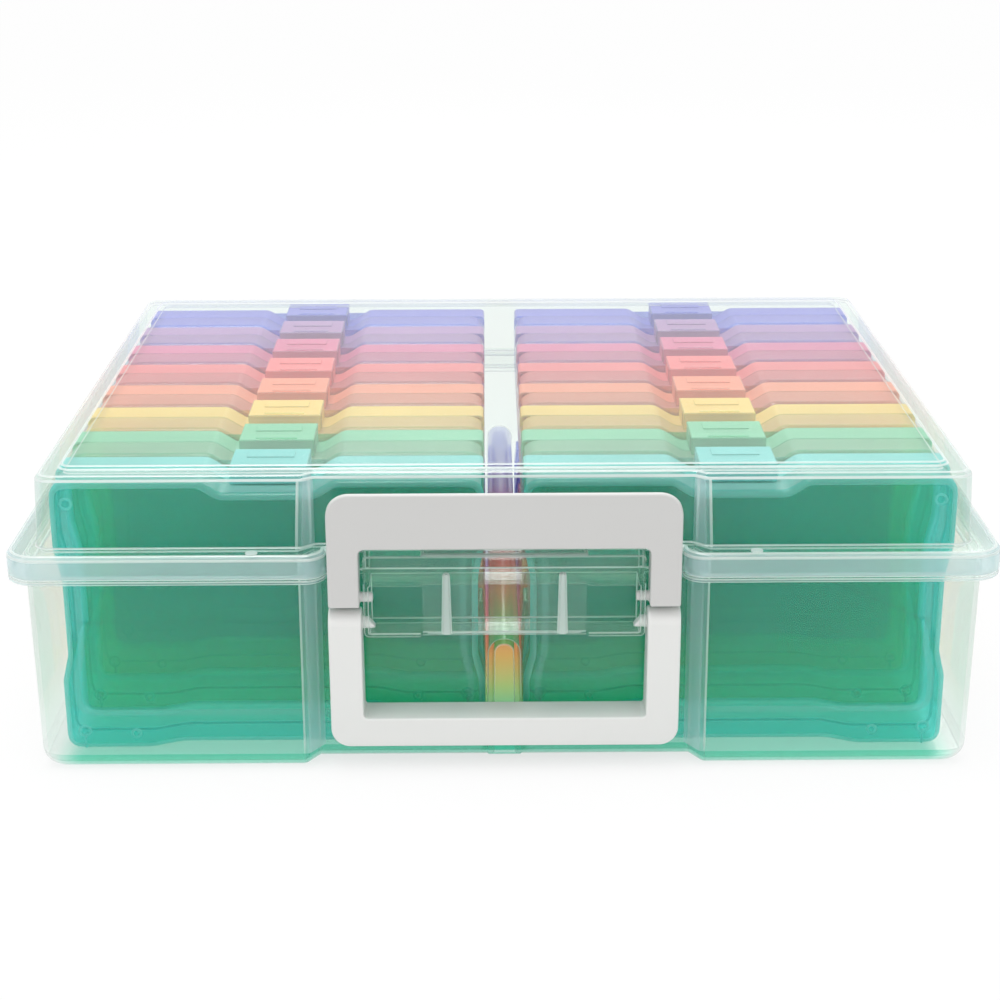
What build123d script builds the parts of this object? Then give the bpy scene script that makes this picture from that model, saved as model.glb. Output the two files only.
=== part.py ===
"""Photo keeper case: a clear tub with a hinged lid, a snap latch and a carry handle,
holding two columns of eight coloured inner photo cases, each a tray with its cover.

Millimetres. The origin is at the centre of the case's footprint on the ground, +Z is up,
+X runs along the front and -Y faces the user, so the latch and the handle are at -Y.
"""
from math import radians, tan
import os

from build123d import *

os.makedirs("parts", exist_ok=True)

OVERCUT = 1.0                # cuts run this far past the faces that they open

# ---------------------------------------------------------------- driving dimensions
# tub
TUB_WIDTH = 374.6            # outside, at the rim
TUB_DEPTH = 296.4            # outside, at the rim
TUB_DRAFT = 0.5              # degrees, the tub narrows towards its floor
TUB_CORNER = 11.0            # upright corners
TUB_FOOT_ROUND = 7.0         # edge between floor and walls
WALL = 2.0                   # tub and lid walls
FLOOR = 3.0
PARTING_Z = 83.4             # plane between the tub's flange and the lid's skirt
RIM_RISE = 7.8               # tub wall above the parting plane

# hollow rib between the two columns of inner cases, open below
DIVIDER_HALF = 6.05          # half width below its round top
DIVIDER_RISE = 48.8          # above the floor's inside
DIVIDER_DRAFT = 0.8
DIVIDER_WALL = 2.1
DIVIDER_FILL = 0.97          # radius of its round top, as a share of its half width

# rim flanges
PARTING_GAP = 0.3            # between the two flanges, half on each side of the parting plane
FLANGE_SIDE_REACH = 6.2      # flange beyond the tub's rim at the sides
FLANGE_END_REACH = 4.8       # and at the front and the rear
FLANGE_CORNER = 13.0
TUB_FLANGE = 1.6             # thickness of the tub's flange
LID_FLANGE = 2.0             # thickness of the lid's flange
SKIRT = 1.8                  # wall that drops from the lid's flange
SKIRT_RISE = 10.0            # top of the lid's flange above the parting plane
FLANGE_CHAMFER = 1.6         # along the top outer edge of the lid's flange

# lid
LID_RISE = 29.1              # from its flange to its top, without the panel
LID_SIDE_STEP = 4.95         # lid's wall inside the tub's rim at the sides
LID_END_STEP = 4.5           # and at the front and the rear
LID_DRAFT = 2.1
LID_CORNER = 6.5
LID_TOP_CHAMFER = 1.6
LID_ROOF = 2.2
PANEL_SIDE_STEP = 9.35       # raised panel inside the lid's wall at the sides
PANEL_END_STEP = 9.7         # and at the front and the rear
PANEL_RISE = 1.5
PANEL_CORNER = 5.0
PANEL_SLOPE = 35.0           # degrees, of the panel's edge

# recess for the latch and the handle in the front of tub and lid
TUB_RECESS_CLEARANCE = 4.0   # beside the latch, at the back of the tub's recess
TUB_RECESS_DEPTH = 8.1       # at the rim
LID_RECESS_CLEARANCE = 5.5   # beside the latch, at the back of the lid's recess
LID_RECESS_DEPTH = 4.4       # at the flange
LID_RECESS_DRAFT = 0.0       # its back stands upright behind the leaning front wall
RECESS_FLARE = 5.2           # recess wider on each side where it leaves the front wall
RECESS_ROUND = 3.0
POCKET_DEPTH = 9.4           # how far the flanges step back behind the legs of latch and handle
POCKET_SIDE_CLEARANCE = 1.0  # beside the latch
POCKET_ROUND = 8.5           # upright corners where the pockets leave the flanges' front

# bracket between the legs, half on the tub and half on the lid
BRACKET_HALF = 54.5
BRACKET_REACH = 2.2          # bracket's front beyond the flanges
BRACKET_DROP = 22.9          # its bottom below the parting plane
BRACKET_SHELF = 1.7
BRACKET_EAR = 2.2
BRACKET_ROUND = 2.0
CATCH_RISE = 0.6             # the bracket's top above the flange
CATCH_PAD_RISE = 0.8         # pad that the latch holds down
CATCH_PAD_FRONT = 0.6        # pad's edge behind the bracket's front
CATCH_PAD_DEPTH = 8.6
TAB_HALF = 31.7              # thumb tab that hangs from the lid's half
TAB_DROP = 21.6              # its bottom below the parting plane
TAB_THICKNESS = 1.4
TAB_ROUND = 3.0
TAB_CLEARANCE = 0.4
TAB_RIB_X = 22.4
TAB_RIB_RUN = 3.6            # top of the ribs above the parting plane
TAB_RIB_TOP_WIDTH = 1.7
TAB_RIB_FOOT_WIDTH = 3.0
TAB_RIB_RISE = 1.1
TAB_RIB_CHAMFER = 0.5

# latch and handle
FACE_REACH = 3.5             # front face of both, beyond the flanges
PIN_CLEARANCE = 0.06         # radial, in every hinge bore
PIN_REACH = 5.2              # how far a pin stands out of its leg
PIN_ROOT = 1.0               # and how far it is rooted inside it
LATCH_AXIS_DROP = 6.9        # pin axis below the parting plane
LATCH_AXIS_BACK = 4.2        # and behind the front face
LATCH_PIN_RADIUS = 1.95
LATCH_HALF = 68.0
LATCH_LEG_GAP = 1.5          # between bracket and leg
LATCH_FOOT = 3.3             # leg below the pin axis
LATCH_TOP_DROP = 3.1         # top edge below the lid's top
LATCH_BAR_GAP = 2.3          # bar above the pad that it holds
LATCH_DEPTH = 10.4
LATCH_LIP = 2.6              # thickness at the finger edge and of the face
LATCH_RIM = 2.2
LATCH_CORNER = 9.0
LATCH_WINDOW_ROUND = 2.4
LATCH_HOOK_DEPTH = 2.4
LATCH_HOOK_CLEARANCE = 0.3
HANDLE_AXIS_DROP = 18.2      # pin axis below the parting plane
HANDLE_KNUCKLE = 6.0         # radius round the pin axis, tangent to the front face
HANDLE_PIN_RADIUS = 2.4
HANDLE_PROUD = 0.3           # handle wider than the latch, on each side
HANDLE_LEG_GAP = 0.9         # between bracket and leg
HANDLE_LENGTH = 50.9         # from the pin axis to the bottom
HANDLE_GRIP = 12.0           # height of the grip bar
HANDLE_DEPTH = 15.3
HANDLE_CORNER = 7.5
HANDLE_WINDOW_ROUND = 1.8

# rear hinge
HINGE_X = 110.0
HINGE_REACH = 0.3            # hinge axis behind the flanges
HINGE_RADIUS = 3.2
HINGE_PIN_RADIUS = 2.0
HINGE_KNUCKLE = 23.0         # length of the lid's knuckle
HINGE_EAR = 3.0
HINGE_SIDE_GAP = 0.3
HINGE_ROUND_GAP = 0.6        # round the knuckle and the ears, in the cut-outs that clear them
HINGE_WEB = 9.6              # how far the ears' webs run forward under the tub's flange

# inner photo cases
COLOURS = ["teal", "green", "yellow", "orange", "red", "pink", "purple", "blue"]   # front to rear
CASE_GAP = 0.3               # between neighbours, between tray and cover, and under each case
CASE_FRONT_CLEARANCE = 2.4   # from the foot of the tub's recess to the first case
CASE_REAR_CLEARANCE = 5.0    # from the last case to the foot of the tub's rear wall
CASE_SIDE_CLEARANCE = 7.1    # from a case to the foot of the tub's side wall
COLUMN_GAP = 15.3            # between the two columns, at the foot
CASE_HEADROOM = 1.5          # over the snap tabs, under the lid's panel
CASE_WALL = 1.2
COVER_SHOULDER = 2.7         # a cover's foot wider than its upper part, on each side
COVER_FOOT_Z = 34.0          # it has its full width below this
COVER_WAIST_Z = 44.0         # and runs in to the upper part here
COVER_TOP_CHAMFER = 5.0
TRAY_SHOULDER = 1.7          # a tray's foot wider than its upper part, on each side
TRAY_STEP_Z = 46.0           # it steps in here
TRAY_TOP_CHAMFER = 4.0
CASE_FOOT_CHAMFER = 4.2
CASE_ARCH_RISE = 2.6         # bottom edge raised between the two feet
CASE_ARCH_HALF = 38.0
CASE_ARCH_RUN = 13.0
NOTCH_DEPTH = 5.0            # dip in the top edge round the snap tab
NOTCH_HALF = 18.0
NOTCH_RUN = 8.0
SNAP_WIDTH = 30.7
SNAP_LENGTH = 15.0
SNAP_RISE = 2.7              # snap tab above the case's top
SNAP_WALL = 1.5
CATCH_WIDTH = 19.0
CATCH_LENGTH = 5.0

# ---------------------------------------------------------------- worked out from them
FLANGE_WIDTH = TUB_WIDTH + 2 * FLANGE_SIDE_REACH
FLANGE_DEPTH = TUB_DEPTH + 2 * FLANGE_END_REACH
LID_WIDTH = TUB_WIDTH - 2 * LID_SIDE_STEP
LID_DEPTH = TUB_DEPTH - 2 * LID_END_STEP
PANEL_WIDTH = LID_WIDTH - 2 * PANEL_SIDE_STEP
PANEL_DEPTH = LID_DEPTH - 2 * PANEL_END_STEP

# half widths of what stands beside the bracket
LATCH_WINDOW_HALF = BRACKET_HALF + LATCH_LEG_GAP
HANDLE_WINDOW_HALF = BRACKET_HALF + HANDLE_LEG_GAP
HANDLE_HALF = LATCH_HALF + HANDLE_PROUD
POCKET_HALF = LATCH_HALF + POCKET_SIDE_CLEARANCE
TUB_RECESS_HALF = LATCH_HALF + TUB_RECESS_CLEARANCE
LID_RECESS_HALF = LATCH_HALF + LID_RECESS_CLEARANCE

# levels
RIM_Z = PARTING_Z + RIM_RISE
TUB_FLANGE_TOP_Z = PARTING_Z - PARTING_GAP / 2
SKIRT_BOTTOM_Z = PARTING_Z + PARTING_GAP / 2
FLANGE_TOP_Z = PARTING_Z + SKIRT_RISE
LID_FLANGE_Z = FLANGE_TOP_Z - LID_FLANGE
LID_TOP_Z = FLANGE_TOP_Z + LID_RISE
CATCH_Z = FLANGE_TOP_Z + CATCH_RISE
CATCH_PAD_Z = CATCH_Z + CATCH_PAD_RISE
BRACKET_BOTTOM_Z = PARTING_Z - BRACKET_DROP
TAB_BOTTOM_Z = PARTING_Z - TAB_DROP
TAB_RIB_TOP_Z = PARTING_Z + TAB_RIB_RUN
DIVIDER_TOP_Z = FLOOR + DIVIDER_RISE
LATCH_AXIS_Z = PARTING_Z - LATCH_AXIS_DROP
LATCH_TOP_Z = LID_TOP_Z - LATCH_TOP_DROP
LATCH_BAR_Z = CATCH_PAD_Z + LATCH_BAR_GAP
HANDLE_AXIS_Z = PARTING_Z - HANDLE_AXIS_DROP
HANDLE_BOTTOM_Z = HANDLE_AXIS_Z - HANDLE_LENGTH
HANDLE_GRIP_Z = HANDLE_BOTTOM_Z + HANDLE_GRIP

# front and rear
TUB_RECESS_Y = TUB_RECESS_DEPTH - TUB_DEPTH / 2
LID_RECESS_Y = LID_RECESS_DEPTH - LID_DEPTH / 2
POCKET_Y = POCKET_DEPTH - FLANGE_DEPTH / 2
BRACKET_Y = -FLANGE_DEPTH / 2 - BRACKET_REACH
FACE_Y = -FLANGE_DEPTH / 2 - FACE_REACH
LATCH_AXIS_Y = FACE_Y + LATCH_AXIS_BACK
HANDLE_AXIS_Y = FACE_Y + HANDLE_KNUCKLE
HINGE_AXIS_Y = FLANGE_DEPTH / 2 + HINGE_REACH
HINGE_SPAN = HINGE_KNUCKLE + 2 * (HINGE_SIDE_GAP + HINGE_EAR)

# shells in plan: width, depth and corner radius, then the recess's back, half width and draft
TUB_PLAN = (TUB_WIDTH, TUB_DEPTH, TUB_CORNER)
TUB_RECESS = (TUB_RECESS_Y, TUB_RECESS_HALF, TUB_DRAFT)
LID_PLAN = (LID_WIDTH, LID_DEPTH, LID_CORNER)
LID_RECESS = (LID_RECESS_Y, LID_RECESS_HALF, LID_RECESS_DRAFT)

# the room for the inner cases at the tub's foot, shared out between them
FOOT_DRAFT = RIM_Z * tan(radians(TUB_DRAFT))
ROOM_HALF = TUB_WIDTH / 2 - FOOT_DRAFT - WALL - CASE_SIDE_CLEARANCE
CASE_FRONT_Y = TUB_RECESS_Y + FOOT_DRAFT + WALL + CASE_FRONT_CLEARANCE
CASE_REAR_Y = TUB_DEPTH / 2 - FOOT_DRAFT - WALL - CASE_REAR_CLEARANCE
CASE_PITCH = (CASE_REAR_Y - CASE_FRONT_Y) / len(COLOURS)
CASE_THICKNESS = CASE_PITCH - CASE_GAP
CASE_FOOT_HALF = (ROOM_HALF - COLUMN_GAP / 2) / 2
CASE_HALF = CASE_FOOT_HALF - COVER_SHOULDER
COLUMN_X = COLUMN_GAP / 2 + CASE_FOOT_HALF
CASE_BOTTOM_Z = FLOOR + CASE_GAP
SNAP_TOP_Z = LID_TOP_Z + PANEL_RISE - LID_ROOF - CASE_HEADROOM
CASE_TOP_Z = SNAP_TOP_Z - SNAP_RISE

# the two halves of a case in front view: shoulder, top of the foot, end of the shoulder, top chamfer
COVER_FORM = (COVER_SHOULDER, COVER_FOOT_Z, COVER_WAIST_Z, COVER_TOP_CHAMFER)
TRAY_FORM = (TRAY_SHOULDER, TRAY_STEP_Z, TRAY_STEP_Z, TRAY_TOP_CHAMFER)


def slab(outline, start, end, taper=0.0):
    """A plan outline given height between two levels; a taper narrows it from start to end."""
    raised = extrude(outline, amount=abs(end - start), taper=taper)
    return Pos(0, 0, start) * (raised if end > start else mirror(raised, about=Plane.XY))


def front_slab(outline, back_y, thickness):
    """A front-view outline (X and Z) given thickness from its back plane towards the user."""
    return extrude(Pos(0, back_y, 0) * (Plane.XZ * outline), amount=thickness)


def side_form(points, x_range):
    """A side view (Y and Z) given width along X."""
    face = Plane.YZ * make_face(Polyline(*points, close=True))
    return Pos(x_range[0], 0, 0) * extrude(face, amount=x_range[1] - x_range[0])


def block(x_range, y_range, z_range):
    size = [high - low for low, high in (x_range, y_range, z_range)]
    middle = [(high + low) / 2 for low, high in (x_range, y_range, z_range)]
    return Pos(*middle) * Box(*size)


def rod(radius, x_range, y, z):
    """A round bar along X."""
    length = x_range[1] - x_range[0]
    return Pos((x_range[0] + x_range[1]) / 2, y, z) * Rot(0, 90, 0) * Cylinder(radius, length)


def near(shape_list, x=None, y=None, reach=0.5):
    """The vertices of a sketch that lie on |x| or at y."""
    return [
        v
        for v in shape_list
        if (x is None or abs(abs(v.X) - x) < reach) and (y is None or abs(v.Y - y) < reach)
    ]


# ---------------------------------------------------------------- shells in plan
def upright_edges(body, levels):
    """The edges that run most of the way between two levels, sorted from the middle outwards."""
    low, high = sorted(levels)
    edges = [e for e in body.edges() if e.bounding_box().size.Z > (high - low) / 2]
    return ShapeList(edges).sort_by(lambda e: abs(e.center().X))


def shell(plan, recess, levels, draft, inset=0.0, end_round=0.0):
    """Drafted block with the front recess; it narrows from the first level to the second.

    With an inset it is the hollow inside such a block, and its recess edges stay sharp.
    """
    width, depth, corner = plan
    recess_y, recess_half, recess_draft = recess
    start, end = levels
    body = slab(Rectangle(width - 2 * inset, depth - 2 * inset), start, end, draft)
    grow = inset + abs(end - start) * tan(radians(recess_draft))
    back, half = recess_y + grow, recess_half + grow
    run = back + depth
    mouth = half + run * RECESS_FLARE / (recess_y + depth / 2)
    corners = [(-mouth, back - run), (mouth, back - run), (half, back), (-half, back)]
    body -= slab(make_face(Polyline(*corners, close=True)), end, start, recess_draft)
    body = fillet(upright_edges(body, levels)[4:], corner - inset)
    if end_round:
        body = fillet(body.edges().group_by(Axis.Z)[0], end_round)
    return body if inset else fillet(upright_edges(body, levels)[:4], RECESS_ROUND)


def flange_plan(inset=0.0):
    """Flange outline: pockets for the legs, and the bracket coming forward between them."""
    half_x, half_y = FLANGE_WIDTH / 2 - inset, FLANGE_DEPTH / 2 - inset
    pocket = POCKET_Y + inset
    bracket_x, bracket_y = BRACKET_HALF - inset, BRACKET_Y + inset
    right = [
        (bracket_x, bracket_y),
        (bracket_x, pocket),
        (POCKET_HALF + inset, pocket),
        (POCKET_HALF + inset, -half_y),
        (half_x, -half_y),
        (half_x, half_y),
    ]
    left = [(-x, y) for x, y in reversed(right)]
    plan = make_face(Polyline(*right, *left, close=True))
    plan = fillet(near(plan.vertices(), x=half_x), FLANGE_CORNER - inset)
    plan = fillet(near(plan.vertices(), x=POCKET_HALF + inset, y=-half_y), POCKET_ROUND - inset)
    return plan


# ---------------------------------------------------------------- hinge stations
def hinge_stations():
    return [-HINGE_X, HINGE_X]


def tub_hinge(tub):
    """Two ears and the pin between them, and a notch in the flange for the lid's knuckle."""
    for x in hinge_stations():
        inner = HINGE_KNUCKLE / 2 + HINGE_SIDE_GAP
        notch_y = HINGE_AXIS_Y - HINGE_RADIUS - HINGE_ROUND_GAP
        tub -= block(
            (x - inner, x + inner),
            (notch_y, HINGE_AXIS_Y),
            (TUB_FLANGE_TOP_Z - TUB_FLANGE - OVERCUT, PARTING_Z),
        )
        for side in (-1, 1):
            ends = sorted((x + side * inner, x + side * (inner + HINGE_EAR)))
            tub += rod(HINGE_RADIUS, ends, HINGE_AXIS_Y, PARTING_Z)
            web_z = TUB_FLANGE_TOP_Z - TUB_FLANGE / 2
            web = [
                (FLANGE_DEPTH / 2 - HINGE_WEB, web_z),
                (HINGE_AXIS_Y, web_z),
                (HINGE_AXIS_Y, PARTING_Z - HINGE_RADIUS),
            ]
            tub += side_form(web, ends)
        tub += rod(HINGE_PIN_RADIUS, (x - HINGE_SPAN / 2, x + HINGE_SPAN / 2), HINGE_AXIS_Y, PARTING_Z)
    return tub


def lid_hinge(lid):
    """A bored knuckle under the lid's flange, and cut-outs in the skirt for the tub's ears."""
    for x in hinge_stations():
        half_span = HINGE_SPAN / 2 + HINGE_SIDE_GAP
        lid -= block(
            (x - half_span, x + half_span),
            (HINGE_AXIS_Y - HINGE_RADIUS - HINGE_ROUND_GAP, HINGE_AXIS_Y + HINGE_RADIUS),
            (SKIRT_BOTTOM_Z - OVERCUT, PARTING_Z + HINGE_RADIUS + HINGE_ROUND_GAP),
        )
        ends = (x - HINGE_KNUCKLE / 2, x + HINGE_KNUCKLE / 2)
        skirt_y = FLANGE_DEPTH / 2 - SKIRT
        lid += rod(HINGE_RADIUS, ends, HINGE_AXIS_Y, PARTING_Z)
        lid += block(ends, (skirt_y, FLANGE_DEPTH / 2), (PARTING_Z, LID_FLANGE_Z))
        bore = HINGE_PIN_RADIUS + PIN_CLEARANCE
        lid -= rod(bore, (x - half_span, x + half_span), HINGE_AXIS_Y, PARTING_Z)
    return lid


# ---------------------------------------------------------------- tub
def tub_bracket():
    """Lower half of the bracket: two ears for the pins, and the shelf that joins them."""
    low, high = BRACKET_BOTTOM_Z, TUB_FLANGE_TOP_Z
    back = TUB_RECESS_Y + WALL / 2
    bracket = block((-BRACKET_HALF, BRACKET_HALF), (BRACKET_Y, back), (low, high))
    bracket = fillet(bracket.edges().filter_by(Axis.Y).group_by(Axis.Z)[0], BRACKET_ROUND)
    inner_half = BRACKET_HALF - BRACKET_EAR
    inner_z = (low + BRACKET_SHELF, high - TUB_FLANGE)
    return bracket - block((-inner_half, inner_half), (BRACKET_Y - OVERCUT, back + OVERCUT), inner_z)


def divider_form(inset, low, front_y, rear_y):
    """The rib's form from its round top down to a level, between two planes."""
    half, top = DIVIDER_HALF - inset, DIVIDER_TOP_Z - inset
    foot_half = half + (top - low) * tan(radians(DIVIDER_DRAFT))
    face = make_face(Polyline((-foot_half, low), (foot_half, low), (half, top), (-half, top), close=True))
    face = fillet(near(face.vertices(), y=top), DIVIDER_FILL * half)
    return front_slab(face, rear_y, rear_y - front_y)


def base_tub():
    body = shell(TUB_PLAN, TUB_RECESS, (RIM_Z, 0), TUB_DRAFT, end_round=TUB_FOOT_ROUND)
    hollow = shell(TUB_PLAN, TUB_RECESS, (RIM_Z, FLOOR), TUB_DRAFT, inset=WALL)
    notch_half = TAB_HALF + TAB_CLEARANCE
    notch_y = (BRACKET_Y - OVERCUT, BRACKET_Y + TAB_THICKNESS + TAB_CLEARANCE)
    notch = block((-notch_half, notch_half), notch_y, (BRACKET_BOTTOM_Z - OVERCUT, PARTING_Z))
    flange = slab(flange_plan(), TUB_FLANGE_TOP_Z - TUB_FLANGE, TUB_FLANGE_TOP_Z)
    tub = body + flange + tub_bracket() - hollow - notch
    front_y, rear_y = TUB_RECESS_Y + FOOT_DRAFT, TUB_DEPTH / 2 - FOOT_DRAFT
    tub += divider_form(0, FLOOR / 2, front_y + WALL / 2, rear_y - WALL / 2)
    tub -= divider_form(DIVIDER_WALL, -OVERCUT, front_y + WALL, rear_y - WALL)
    bore_half = BRACKET_HALF + OVERCUT
    for axis_y, axis_z, radius in (
        (LATCH_AXIS_Y, LATCH_AXIS_Z, LATCH_PIN_RADIUS),
        (HANDLE_AXIS_Y, HANDLE_AXIS_Z, HANDLE_PIN_RADIUS),
    ):
        tub -= rod(radius + PIN_CLEARANCE, (-bore_half, bore_half), axis_y, axis_z)
    return tub_hinge(tub)


# ---------------------------------------------------------------- lid
def thumb_tab():
    """Tab that hangs from the lid's half of the bracket, with its two stiffening ribs."""
    corners = [
        (-TAB_HALF, TAB_BOTTOM_Z),
        (TAB_HALF, TAB_BOTTOM_Z),
        (TAB_HALF, LID_FLANGE_Z),
        (-TAB_HALF, LID_FLANGE_Z),
    ]
    face = make_face(Polyline(*corners, close=True))
    face = fillet(face.vertices().group_by(Axis.Y)[0], TAB_ROUND)
    tab = front_slab(face, BRACKET_Y + TAB_THICKNESS, TAB_THICKNESS)
    top, foot = TAB_RIB_TOP_WIDTH / 2, TAB_RIB_FOOT_WIDTH / 2
    for x in (-TAB_RIB_X, TAB_RIB_X):
        corners = [
            (x - foot, TAB_BOTTOM_Z),
            (x + foot, TAB_BOTTOM_Z),
            (x + top, TAB_RIB_TOP_Z),
            (x - top, TAB_RIB_TOP_Z),
        ]
        rib = make_face(Polyline(*corners, close=True))
        rib = chamfer(rib.vertices().group_by(Axis.Y)[-1], TAB_RIB_CHAMFER)
        tab += front_slab(rib, BRACKET_Y + TAB_THICKNESS / 2, TAB_THICKNESS / 2 + TAB_RIB_RISE)
    return tab


def lid_bracket():
    """Upper half of the bracket: a hollow box open below, with the pad that the latch holds."""
    back = LID_RECESS_Y + WALL / 2
    cap = block((-BRACKET_HALF, BRACKET_HALF), (BRACKET_Y, back), (SKIRT_BOTTOM_Z, CATCH_Z))
    cap = fillet(cap.edges().filter_by(Axis.Y).group_by(Axis.Z)[-1], BRACKET_ROUND)
    inner_half = BRACKET_HALF - BRACKET_EAR
    below = (SKIRT_BOTTOM_Z - OVERCUT, LID_FLANGE_Z)
    cap -= block((-inner_half, inner_half), (BRACKET_Y + SKIRT, back + OVERCUT), below)
    cap -= block((-BRACKET_HALF, BRACKET_HALF), (TUB_RECESS_Y - PARTING_GAP, back + OVERCUT), below)
    pad_front = BRACKET_Y + CATCH_PAD_FRONT
    pad = block((-TAB_HALF, TAB_HALF), (pad_front, pad_front + CATCH_PAD_DEPTH), (CATCH_Z, CATCH_PAD_Z))
    pad = chamfer(pad.edges().group_by(Axis.Z)[-1], CATCH_PAD_RISE / 2)
    return cap + pad


def lid():
    body = shell(LID_PLAN, LID_RECESS, (LID_FLANGE_Z, LID_TOP_Z), LID_DRAFT)
    body = chamfer(body.edges().group_by(Axis.Z)[-1], LID_TOP_CHAMFER)
    panel = RectangleRounded(PANEL_WIDTH, PANEL_DEPTH, PANEL_CORNER)
    body += slab(panel, LID_TOP_Z, LID_TOP_Z + PANEL_RISE, PANEL_SLOPE)
    flange = slab(flange_plan(), LID_FLANGE_Z, FLANGE_TOP_Z)
    flange = chamfer(flange.edges().group_by(Axis.Z)[-1], FLANGE_CHAMFER)
    skirt = slab(flange_plan() - flange_plan(SKIRT), SKIRT_BOTTOM_Z, LID_FLANGE_Z)
    body += flange + skirt + lid_bracket()
    roof_z = LID_TOP_Z - LID_ROOF
    hollow = shell(LID_PLAN, LID_RECESS, (LID_FLANGE_Z, roof_z), LID_DRAFT, inset=WALL)
    under_panel = RectangleRounded(PANEL_WIDTH - 2 * WALL, PANEL_DEPTH - 2 * WALL, PANEL_CORNER - WALL)
    hollow += slab(under_panel, roof_z - OVERCUT, roof_z + PANEL_RISE)
    return lid_hinge(body - hollow + thumb_tab())


# ---------------------------------------------------------------- latch and handle
def latch_front(inset=0.0):
    """Front view of the latch: an inverted U."""
    half, inner = LATCH_HALF - inset, LATCH_WINDOW_HALF + inset
    foot = LATCH_AXIS_Z - LATCH_FOOT + inset
    bar, top = LATCH_BAR_Z + inset, LATCH_TOP_Z - inset
    points = [(-half, foot), (-inner, foot), (-inner, bar), (inner, bar), (inner, foot), (half, foot)]
    face = make_face(Polyline(*points, (half, top), (-half, top), close=True))
    face = fillet(face.vertices().group_by(Axis.Y)[-1], LATCH_CORNER - inset)
    return fillet(near(face.vertices(), x=inner, y=bar), LATCH_WINDOW_ROUND + inset)


def latch():
    """Snap latch: a hollow-backed inverted U with a hook along its bar and two pins."""
    back = FACE_Y + LATCH_DEPTH
    foot_z = LATCH_AXIS_Z - LATCH_FOOT
    knee_z = LATCH_BAR_Z + LATCH_RIM
    profile = [
        (FACE_Y, foot_z),
        (back, foot_z),
        (back, knee_z),
        (FACE_Y + LATCH_LIP, LATCH_TOP_Z),
        (FACE_Y, LATCH_TOP_Z),
    ]
    body = front_slab(latch_front(), back, LATCH_DEPTH)
    body &= side_form(profile, (-LATCH_HALF - OVERCUT, LATCH_HALF + OVERCUT))
    pocket = front_slab(latch_front(LATCH_RIM), back, LATCH_DEPTH - LATCH_LIP)
    solid_foot_z = LATCH_AXIS_Z + LATCH_PIN_RADIUS + LATCH_RIM
    pocket -= block((-LATCH_HALF, LATCH_HALF), (FACE_Y, back + OVERCUT), (foot_z, solid_foot_z))
    body -= pocket
    hook_bottom = CATCH_PAD_Z + LATCH_HOOK_CLEARANCE
    hook_front = back - LATCH_HOOK_DEPTH
    ramp_front = hook_front - (LATCH_BAR_Z - hook_bottom)
    hook = [
        (hook_front, hook_bottom),
        (back, hook_bottom),
        (back, knee_z),
        (ramp_front, knee_z),
        (ramp_front, LATCH_BAR_Z),
    ]
    body += side_form(hook, (-TAB_HALF, TAB_HALF))
    for side in (-1, 1):
        ends = sorted((side * (LATCH_WINDOW_HALF + PIN_ROOT), side * (LATCH_WINDOW_HALF - PIN_REACH)))
        body += rod(LATCH_PIN_RADIUS, ends, LATCH_AXIS_Y, LATCH_AXIS_Z)
    return body


def handle_front():
    """Front view of the handle: an upright U."""
    inner = HANDLE_WINDOW_HALF
    top = HANDLE_AXIS_Z + HANDLE_KNUCKLE
    points = [
        (-HANDLE_HALF, HANDLE_BOTTOM_Z),
        (HANDLE_HALF, HANDLE_BOTTOM_Z),
        (HANDLE_HALF, top),
        (inner, top),
        (inner, HANDLE_GRIP_Z),
        (-inner, HANDLE_GRIP_Z),
        (-inner, top),
        (-HANDLE_HALF, top),
    ]
    face = make_face(Polyline(*points, close=True))
    face = fillet(face.vertices().group_by(Axis.Y)[0], HANDLE_CORNER)
    return fillet(near(face.vertices(), x=inner, y=HANDLE_GRIP_Z), HANDLE_WINDOW_ROUND)


def handle():
    """Carry handle: legs that grow deeper from the round knuckle at the pin to the grip bar."""
    back = FACE_Y + HANDLE_DEPTH
    across = (-HANDLE_HALF, HANDLE_HALF)
    profile = [
        (FACE_Y, HANDLE_BOTTOM_Z),
        (back, HANDLE_BOTTOM_Z),
        (back, HANDLE_GRIP_Z),
        (HANDLE_AXIS_Y + HANDLE_KNUCKLE, HANDLE_AXIS_Z),
        (FACE_Y, HANDLE_AXIS_Z),
    ]
    knuckle = rod(HANDLE_KNUCKLE, across, HANDLE_AXIS_Y, HANDLE_AXIS_Z)
    body = front_slab(handle_front(), back, HANDLE_DEPTH) & (side_form(profile, across) + knuckle)
    for side in (-1, 1):
        tip = side * (HANDLE_WINDOW_HALF - PIN_REACH)
        ends = sorted((side * (HANDLE_WINDOW_HALF + PIN_ROOT), tip))
        pin = rod(HANDLE_PIN_RADIUS, ends, HANDLE_AXIS_Y, HANDLE_AXIS_Z)
        above = HANDLE_AXIS_Z + 2 * HANDLE_PIN_RADIUS
        ramp = [
            (tip, HANDLE_AXIS_Z - HANDLE_PIN_RADIUS / 2),
            (tip + side * PIN_REACH, above),
            (tip - side * PIN_REACH, above),
        ]
        ramp_back = HANDLE_AXIS_Y + HANDLE_PIN_RADIUS + OVERCUT
        ramp_depth = 2 * (HANDLE_PIN_RADIUS + OVERCUT)
        body += pin - front_slab(make_face(Polyline(*ramp, close=True)), ramp_back, ramp_depth)
    return body


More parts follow.
